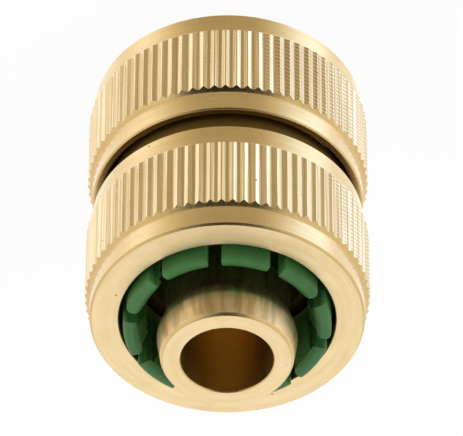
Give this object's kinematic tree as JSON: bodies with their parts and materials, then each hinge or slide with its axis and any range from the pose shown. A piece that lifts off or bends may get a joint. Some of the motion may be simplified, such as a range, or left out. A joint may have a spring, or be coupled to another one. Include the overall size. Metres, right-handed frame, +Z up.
{
  "type": "hose mender",
  "caption": "Round brass hose mender with a hose spigot at each end, each inside a knurled nut and a slotted green plastic collet that grips the hose.",
  "frame": {"origin": "middle of the end face of the lower spigot, on which the part stands", "axes": "+Z up along the bore, the axis of the whole part; X and Y are equal across it"},
  "size_m": [0.0284, 0.0284, 0.0407],
  "materials": {
    "body_brass": "fine turned",
    "nut_brass": "fine turned, straight knurl",
    "collet_plastic": "moulded satin"
  },
  "bodies": {
    "body": {"spigot_body": "body_brass"},
    "upper_grip": {"upper_collet": "collet_plastic"},
    "upper_ring": {"upper_nut": "nut_brass"},
    "lower_grip": {"lower_collet": "collet_plastic"},
    "lower_ring": {"lower_nut": "nut_brass"}
  },
  "joints": [
    {"name": "upper_nut_travel", "type": "slide", "parent": "body", "child": "upper_grip", "axis": [0, 0, 1], "range_m": [-0.00075, 0.00375]},
    {"name": "upper_nut_turn", "type": "hinge", "parent": "upper_grip", "child": "upper_ring", "pos_m": [0, 0, 0.02835], "axis": [0, 0, 1], "range_deg": [-180, 900]},
    {"name": "lower_nut_travel", "type": "slide", "parent": "body", "child": "lower_grip", "axis": [0, 0, -1], "range_m": [-0.00075, 0.00375]},
    {"name": "lower_nut_turn", "type": "hinge", "parent": "lower_grip", "child": "lower_ring", "pos_m": [0, 0, 0.01235], "axis": [0, 0, -1], "range_deg": [-180, 900]}
  ],
  "couplings": [
    {"joint": "upper_nut_travel", "follows": "upper_nut_turn", "m_per_rad": 0.00023873},
    {"joint": "lower_nut_travel", "follows": "lower_nut_turn", "m_per_rad": 0.00023873}
  ]
}
